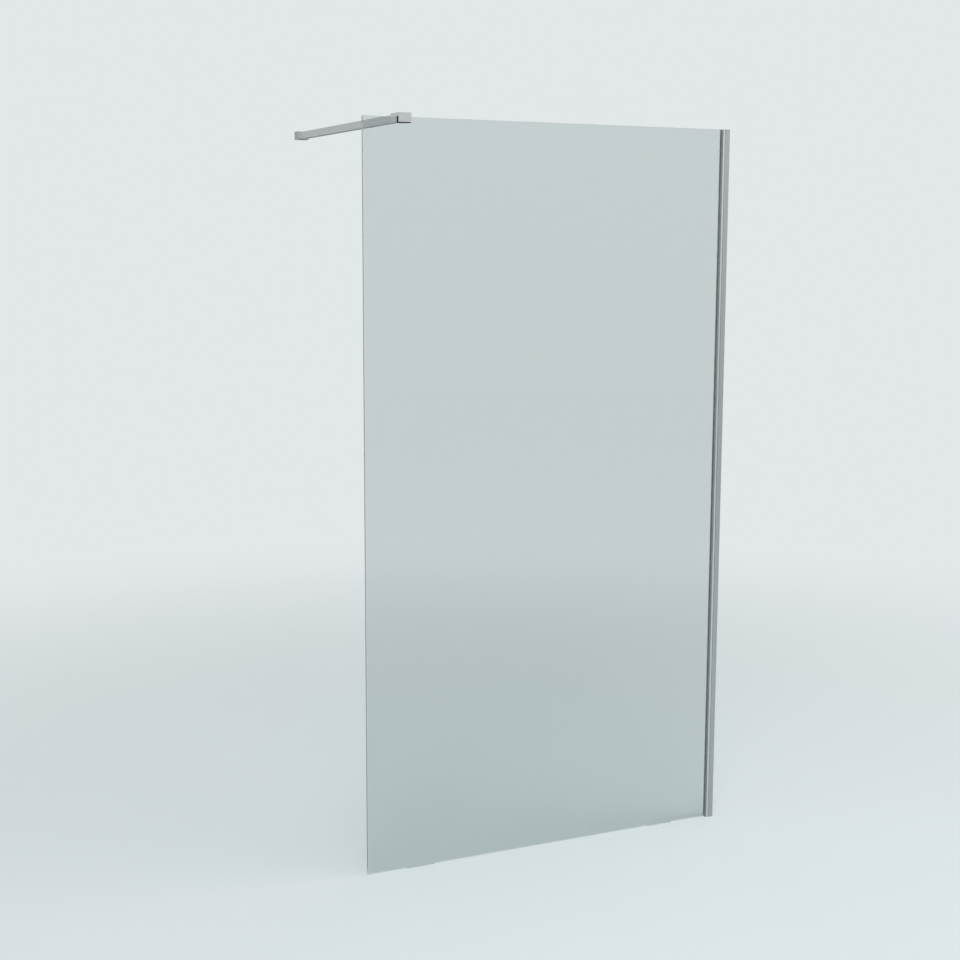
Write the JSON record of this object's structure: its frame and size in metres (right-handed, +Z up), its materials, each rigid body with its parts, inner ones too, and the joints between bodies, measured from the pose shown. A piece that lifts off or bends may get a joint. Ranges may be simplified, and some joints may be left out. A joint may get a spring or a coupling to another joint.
{
  "type": "walk-in shower screen",
  "caption": "Fixed clear glass walk-in shower screen in a two-part aluminium wall profile, held at the top by a square brace bar with a glass clamp and a wall bracket.",
  "frame": {"origin": "on the side wall's face, at floor level, in the middle plane of the glass", "axes": "+X points into the side wall, out of the back of the wall profile; the glass runs towards -X; +Y points from the glass to the wall that the brace bar is fixed to, the shower side; +Z is up, along the height of the glass"},
  "size_m": [1.094, 0.8175, 2.011],
  "materials": {
    "bright_aluminium": "bright anodised",
    "chrome": "satin chrome",
    "clear_glass": "clear, ground edges",
    "dark_rubber": "matt",
    "packer_plastic": "matt",
    "clear_plastic": "clear",
    "grey_plastic": "metallised",
    "stainless_steel": "plain"
  },
  "bodies": {
    "wall_channel": {"wall_profile": "bright_aluminium", "locking_screws": "stainless_steel", "cap_washers": "packer_plastic", "screw_caps": "grey_plastic"},
    "glass_unit": {"glass_panel": "clear_glass", "glazing_profile": "bright_aluminium", "front_gasket": "dark_rubber", "rear_gasket": "clear_plastic", "edge_packers": "packer_plastic", "setting_blocks": "clear_plastic", "channel_cap": "grey_plastic"},
    "brace": {"clamp_body": "chrome", "clamp_liner": "dark_rubber", "clamp_pressure_plate": "stainless_steel", "clamp_grub_screws": "stainless_steel", "clamp_bar_screw": "stainless_steel", "brace_bar": "chrome"},
    "bracket": {"bracket_base": "chrome", "bracket_wall_pad": "dark_rubber"},
    "housing": {"bracket_socket": "chrome", "bracket_grub_screws": "stainless_steel"}
  },
  "joints": [
    {"name": "wall_adjustment", "type": "slide", "parent": "wall_channel", "child": "glass_unit", "axis": [-1, 0, 0], "range_m": [-0.004, 0.0025]},
    {"name": "clamp_slide", "type": "slide", "parent": "glass_unit", "child": "brace", "axis": [1, 0, 0], "range_m": [-0.08, 0.4]},
    {"name": "bracket_reach", "type": "slide", "parent": "brace", "child": "bracket", "axis": [0, 1, 0], "range_m": [-0.003, 0.005]},
    {"name": "housing_slide", "type": "slide", "parent": "bracket", "child": "housing", "axis": [0, -1, 0], "range_m": [0, 0.05]}
  ]
}
